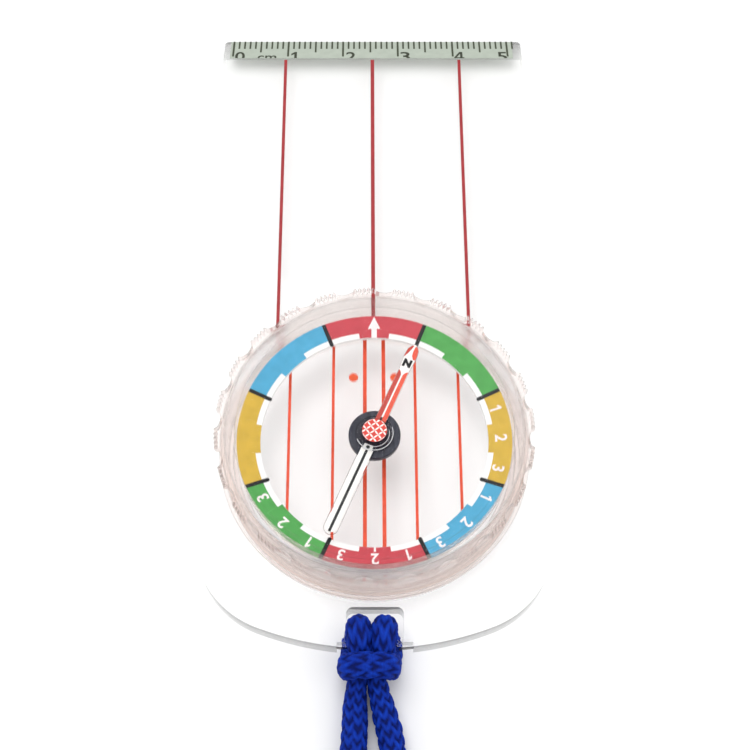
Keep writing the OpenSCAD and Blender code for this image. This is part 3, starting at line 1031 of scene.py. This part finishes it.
def add_scale_figures():
    low, high = span("scale_marks")
    bevel_len, bevel_drop = 5.4, 1.6
    slope = math.atan2(bevel_drop, bevel_len)
    strip_low = span("scale_strip")[0]
    zero_x = low.x + ZERO_MARK_W / 2
    material = printed("scale_figures", (0.045, 0.052, 0.035), 0.5, 0.1)
    # figure, distance from the zero mark, height, width and how much of it shows
    places = [
        ("0", 1.27, 2.7, 1.75, 1.9), ("cm", 6.2, 1.45, 3.4, 0.8), ("1", 11.1, 2.7, None, 1.9),
        ("2", 21.45, 2.7, 1.75, 1.9), ("3", 31.3, 2.7, 1.75, 1.9), ("4", 41.18, 2.7, 1.85, 1.9),
        ("5", 49.0, 2.7, 1.75, 1.9),
    ]
    flat_low = -(FAR_Y - strip_low.y) / math.cos(slope)
    works = []
    for figure, x, height, width, shown in places:
        spot = (zero_x + x, flat_low + shown - height / 2)
        works.append(lettering(figure, height, spot, 0.06, 0, 0.012, width, shown - 0.02))
    mesh = joined("scale_figures", works)
    work = bmesh.new()
    work.from_mesh(mesh)
    place = Matrix.Translation((0, FAR_Y * MM, (PLATE_TOP - bevel_drop) * MM))
    work.transform(place @ Matrix.Rotation(-slope, 4, "X"))
    finished("scale_figures", from_bmesh("scale_figures", work), material, "base")


add_prints()
add_scale_figures()


# ---------- needle ----------

NEEDLE_AZ = 23.3
SOUTH_R = 17.15  # end of the black line
NEEDLE_PRINT_T = 0.02
HUB_R = 2.1
FLANGE_T = 0.25


def needle_place(points):
    """Points given across and along the needle, put on the dial."""
    a = math.radians(NEEDLE_AZ)
    placed = []
    for x, y in points:
        placed.append((
            PIVOT.x + x * math.cos(a) + y * math.sin(a),
            PIVOT.y - x * math.sin(a) + y * math.cos(a),
        ))
    return placed


def bowed(start, end, sag, steps=8):
    """Points from start to end along a shallow arc, leaving out the end."""
    a, b = Vector(start), Vector(end)
    across = Vector((-(b - a).y, (b - a).x)).normalized()
    points = []
    for k in range(steps):
        t = k / steps
        p = a.lerp(b, t) + across * sag * 4 * t * (1 - t)
        points.append((p.x, p.y))
    return points


def north_half_width(y):
    """Half-width of the blade's north half at a distance from the pivot."""
    return np.interp(y, (0, 11.8, 14.3, 15.6, 16.45, 16.6), (0.95, 0.85, 1.05, 0.92, 0.35, 0))


def strip_between(left, right, low, high, steps=12):
    """Closed outline between two edges, each given as across(y)."""
    ys = [low + (high - low) * k / steps for k in range(steps + 1)]
    return [(left(y), y) for y in ys] + [(right(y), y) for y in reversed(ys)]


# Inner edge of each petal near the tip, from the tip down; the left one is the thinner
PETAL_INSIDE = {
    -1: [(0.28, 15.6), (0.52, 14.9), (0.8, 14.2)],
    1: [(0.1, 15.2), (0.22, 14.5), (0.6, 13.9)],
}


def needle_prints(name, outlines, z, material):
    works = [prism(needle_place(outline), z, NEEDLE_PRINT_T) for outline in outlines]
    return finished(name, joined(name, works), material, "needle")


def add_red_half(name, side, material, face_top, flange_top):
    """One red half beside the white line, ending in a fork round the letter's patch."""
    half_line, margin = 0.14, 0.08
    body_low, body_high, fork_y = 3.0, 10.8, 11.6

    def outer_edge(y):
        return side * (north_half_width(y) - margin)

    def line_edge(y):
        return side * half_line

    body = strip_between(outer_edge, line_edge, body_low, body_high)
    root = strip_between(outer_edge, line_edge, HUB_R, body_low + 0.05, 3)
    needle_prints(f"needle_root_{name}", [root], flange_top, material)
    fork = bowed((outer_edge(fork_y), fork_y), (line_edge(body_high), body_high), -side * 0.12, 6)
    body[13:13] = fork
    petal = [(outer_edge(y), y) for y in (13.95, 14.3, 15.6, 16.2)]
    petal += [(side * half_line, 16.3)]
    petal += [(side * x, y) for x, y in PETAL_INSIDE[side]]
    needle_prints(f"needle_red_{name}", [body, petal], face_top, material)


def add_needle_ink(face_top, flange_top):
    """The letter, the south half's black line, and the dot on its grey pad."""
    black = printed("needle_black", INK, 0.35)
    letter = lettering("N", 1.4, needle_place([(0, 13.05)])[0], face_top + 0.01, NEEDLE_AZ, 0.075,
                       1.35)
    stripe = [(-0.21, -SOUTH_R), (0.21, -SOUTH_R), (0.21, -2.98), (-0.21, -2.98)]
    pad = [(-0.8, -3.05), (0.8, -3.05), (0.7, -HUB_R), (-0.7, -HUB_R)]
    needle_prints("needle_pad", [pad], flange_top, moulded("pad_grey", (0.6, 0.6, 0.58)))
    dot_r, dot_y = 0.3, -2.55
    dot = [(dot_r * math.cos(a), dot_y + dot_r * math.sin(a))
           for a in np.linspace(0, 2 * math.pi, 24, endpoint=False)]
    works = [
        letter, prism(needle_place(stripe), face_top, NEEDLE_PRINT_T),
        prism(needle_place(dot), flange_top + 0.01, NEEDLE_PRINT_T),
    ]
    finished("needle_ink", joined("needle_ink", works), black, "needle")


def add_needle():
    face_top = span("needle_north_face")[1].z
    flange_top = span("hub_cap")[0].z + FLANGE_T
    white = printed("needle_white", (0.88, 0.85, 0.82), 0.35, 0.04)
    light_red = printed("needle_red", (0.72, 0.095, 0.055), 0.35, 0.08)
    dark_red = printed("needle_red_dark", (0.50, 0.06, 0.045), 0.35, 0.08)
    dress("needle_north_face", white)
    dress("needle_south_face", white)
    blade = clear_plastic("clear_needle", (0.97, 0.965, 0.96), waviness=0.02, ior=1.1)
    mesh = rounded_mesh("needle_strip", cad_surface("needle_blade"), 0.06, 2)
    piece = finished("needle_strip", mesh, blade, "needle")
    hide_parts("needle_blade")
    add_red_half("left", -1, dark_red, face_top, flange_top)
    add_red_half("right", 1, light_red, face_top, flange_top)
    add_needle_ink(face_top, flange_top)


def ring_arc(r, width, start, end, steps=24):
    """A narrow arc round the pivot, between two azimuths."""
    angles = [start + (end - start) * k / steps for k in range(steps + 1)]
    outer = [polar(r + width / 2, a) for a in angles]
    return outer + [polar(r - width / 2, a) for a in reversed(angles)]


def add_hub_cap():
    low, high = span("hub_cap")
    clear = clear_plastic("clear_hub", (0.985, 0.98, 0.98), waviness=0.02, ior=1.05, edge=0.9)
    flange_r, bore_r = 2.9, 1.2
    flange_z, roof_z = low.z + FLANGE_T, low.z + 0.95
    corners = [
        (bore_r, low.z, 0, 0), (flange_r, low.z, 0.05, 0), (flange_r, flange_z, 0.1, 0),
        (HUB_R, flange_z, 0.08, 0), (HUB_R, high.z, 0.15, 0), (0.0, high.z, 0, 0),
        (0.0, roof_z, 0, 0), (bore_r, roof_z, 0.1, 0),
    ]
    # painted highlights: light grey arcs on the near side of the clear flange's rim and the hub's
    # foot stand in for the light they catch
    arcs = [ring_arc(2.84, 0.11, 70, 250), ring_arc(2.28, 0.11, 80, 215)]
    works = [prism(arc, flange_z, 0.03) for arc in arcs]
    glint_paint = moulded("hub_glint_paint", (0.58, 0.58, 0.60), 0.25)
    finished("hub_glints", joined("hub_glints", works), glint_paint, "needle")
    turned("hub_dome", corners, clear, "needle", "clear_needle", "hub_cap", segments=96)


def add_magnet():
    low, high = span("needle_magnet")
    tree = Tree("magnet_dark", (0.02, 0.021, 0.032), 0.35)
    streaks = tree.noise(1500, 4, (1, 0.08, 1), 1.0)
    stops = [(0.35, (0.014, 0.015, 0.024)), (0.75, (0.06, 0.062, 0.085))]
    tree.set("Base Color", tree.ramp(streaks, stops))
    tree.set("Roughness", tree.to_range(streaks, 0.28, 0.5))
    tree.set("Specular IOR Level", 0.2)
    tree.bump(tree.noise(1500, 3, (1, 0.2, 1)), 0.02 * MM, 0.4)
    outer_r, bore_r = high.x - PIVOT.x, 1.0
    corners = [
        (bore_r, low.z, 0.1, 0), (outer_r, low.z, 0.15, 0),
        (outer_r, high.z, 0.15, 0), (bore_r, high.z, 0.1, 0),
    ]
    turned("magnet_disc", corners, tree.material, "needle", "dark_magnet", "needle_magnet",
           segments=128)


def add_hub_pattern():
    """White lens-shaped petals in a square net over the red label."""
    high = span("hub_label")[1]
    edge_r = high.x - PIVOT.x
    dress("hub_label", printed("label_red", (0.68, 0.06, 0.045), 0.4, 0.1))
    pitch, lens, turn = 0.92, 0.13, math.radians(31)
    works = []
    for i in range(-3, 4):
        for j in range(-3, 4):
            for di, dj in ((1, 0), (0, 1)):
                start, end = Vector((i, j)) * pitch, Vector((i + di, j + dj)) * pitch
                petal = bowed(start, end, lens, 6) + bowed(end, start, lens, 6)
                if max(Vector(p).length for p in petal) > edge_r + 0.4:
                    continue
                petal = [Vector(p) * min(1, (edge_r - 0.03) / max(Vector(p).length, 0.01))
                         for p in petal]
                petal = [(p.x * math.cos(turn) + p.y * math.sin(turn),
                          p.y * math.cos(turn) - p.x * math.sin(turn)) for p in petal]
                works.append(prism(needle_place(petal), high.z, 0.012))
    white = printed("label_white", (0.9, 0.86, 0.82))
    finished("hub_pattern", joined("hub_pattern", works), white, "needle")


def dress_bearing():
    """The pin, its jewel and the filler plug."""
    steel = Tree("pin_steel", (0.6, 0.61, 0.63), 0.25)
    steel.set("Metallic", 1.0)
    steel.set("Roughness", steel.to_range(steel.noise(4000, 2), 0.18, 0.35))
    jewel = Tree("jewel", (0.75, 0.12, 0.2), 0.12)
    jewel.set("Roughness", jewel.to_range(jewel.noise(3000, 2), 0.08, 0.2))
    dress("pivot_pin", steel.material)
    dress("needle_jewel", jewel.material)
    dress("filler_plug", moulded("plug_white", (0.83, 0.83, 0.8)))


add_needle()
add_hub_cap()
add_magnet()
add_hub_pattern()
dress_bearing()


# ---------- floor, world and light ----------

FLOOR_DROP = 0.0002  # in metres, so that the floor doesn't touch the plate's underside


def add_floor():
    side = 2.0
    mesh = bpy.data.meshes.new("floor")
    corners = [(-side, -side, 0), (side, -side, 0), (side, side, 0), (-side, side, 0)]
    mesh.from_pydata(corners, [], [(0, 1, 2, 3)])
    floor = bpy.data.objects.new("floor", mesh)
    floor.location.z = -FLOOR_DROP
    bpy.context.scene.collection.objects.link(floor)
    tree = Tree("floor", (0.9, 0.9, 0.9), 0.7)
    stops = [(0.3, (0.9, 0.9, 0.9)), (0.7, (0.91, 0.91, 0.91))]
    tree.set("Base Color", tree.ramp(tree.noise(8, 2), stops))
    mesh.materials.append(tree.material)


def add_world():
    """Pale sky that darkens towards the horizon, so clear edges have something to show."""
    world = bpy.data.worlds.new("studio")
    bpy.context.scene.world = world
    world.use_nodes = True
    nodes = world.node_tree.nodes
    links = world.node_tree.links
    where = nodes.new("ShaderNodeTexCoord")
    split = nodes.new("ShaderNodeSeparateXYZ")
    ramp = nodes.new("ShaderNodeValToRGB")
    links.new(where.outputs["Generated"], split.inputs["Vector"])
    links.new(split.outputs["Z"], ramp.inputs["Fac"])
    elements = ramp.color_ramp.elements
    elements[0].position = 0.0
    elements[0].color = (0.5, 0.485, 0.475, 1)
    elements[1].position = 0.5
    elements[1].color = (0.95, 0.95, 0.95, 1)
    links.new(ramp.outputs["Color"], nodes["Background"].inputs["Color"])
    nodes["Background"].inputs["Strength"].default_value = 0.85


def add_light(name, place, size, power):
    data = bpy.data.lights.new(name, "AREA")
    data.shape = "DISK"
    data.size = size
    data.energy = power
    light = bpy.data.objects.new(name, data)
    bpy.context.scene.collection.objects.link(light)
    light.location = place
    light.rotation_mode = "QUATERNION"
    light.rotation_quaternion = (-Vector(place)).to_track_quat("-Z", "Y")


def add_stage():
    add_floor()
    add_world()
    add_light("key", (-0.16, 0.16, 0.9), 0.7, 3.3)
    add_light("fill", (0.5, -0.35, 0.7), 0.8, 1.4)
    scene = bpy.context.scene
    scene.view_settings.view_transform = "Standard"
    scene.cycles.max_bounces = 24
    scene.cycles.transmission_bounces = 20
    scene.cycles.transparent_max_bounces = 24


add_stage()
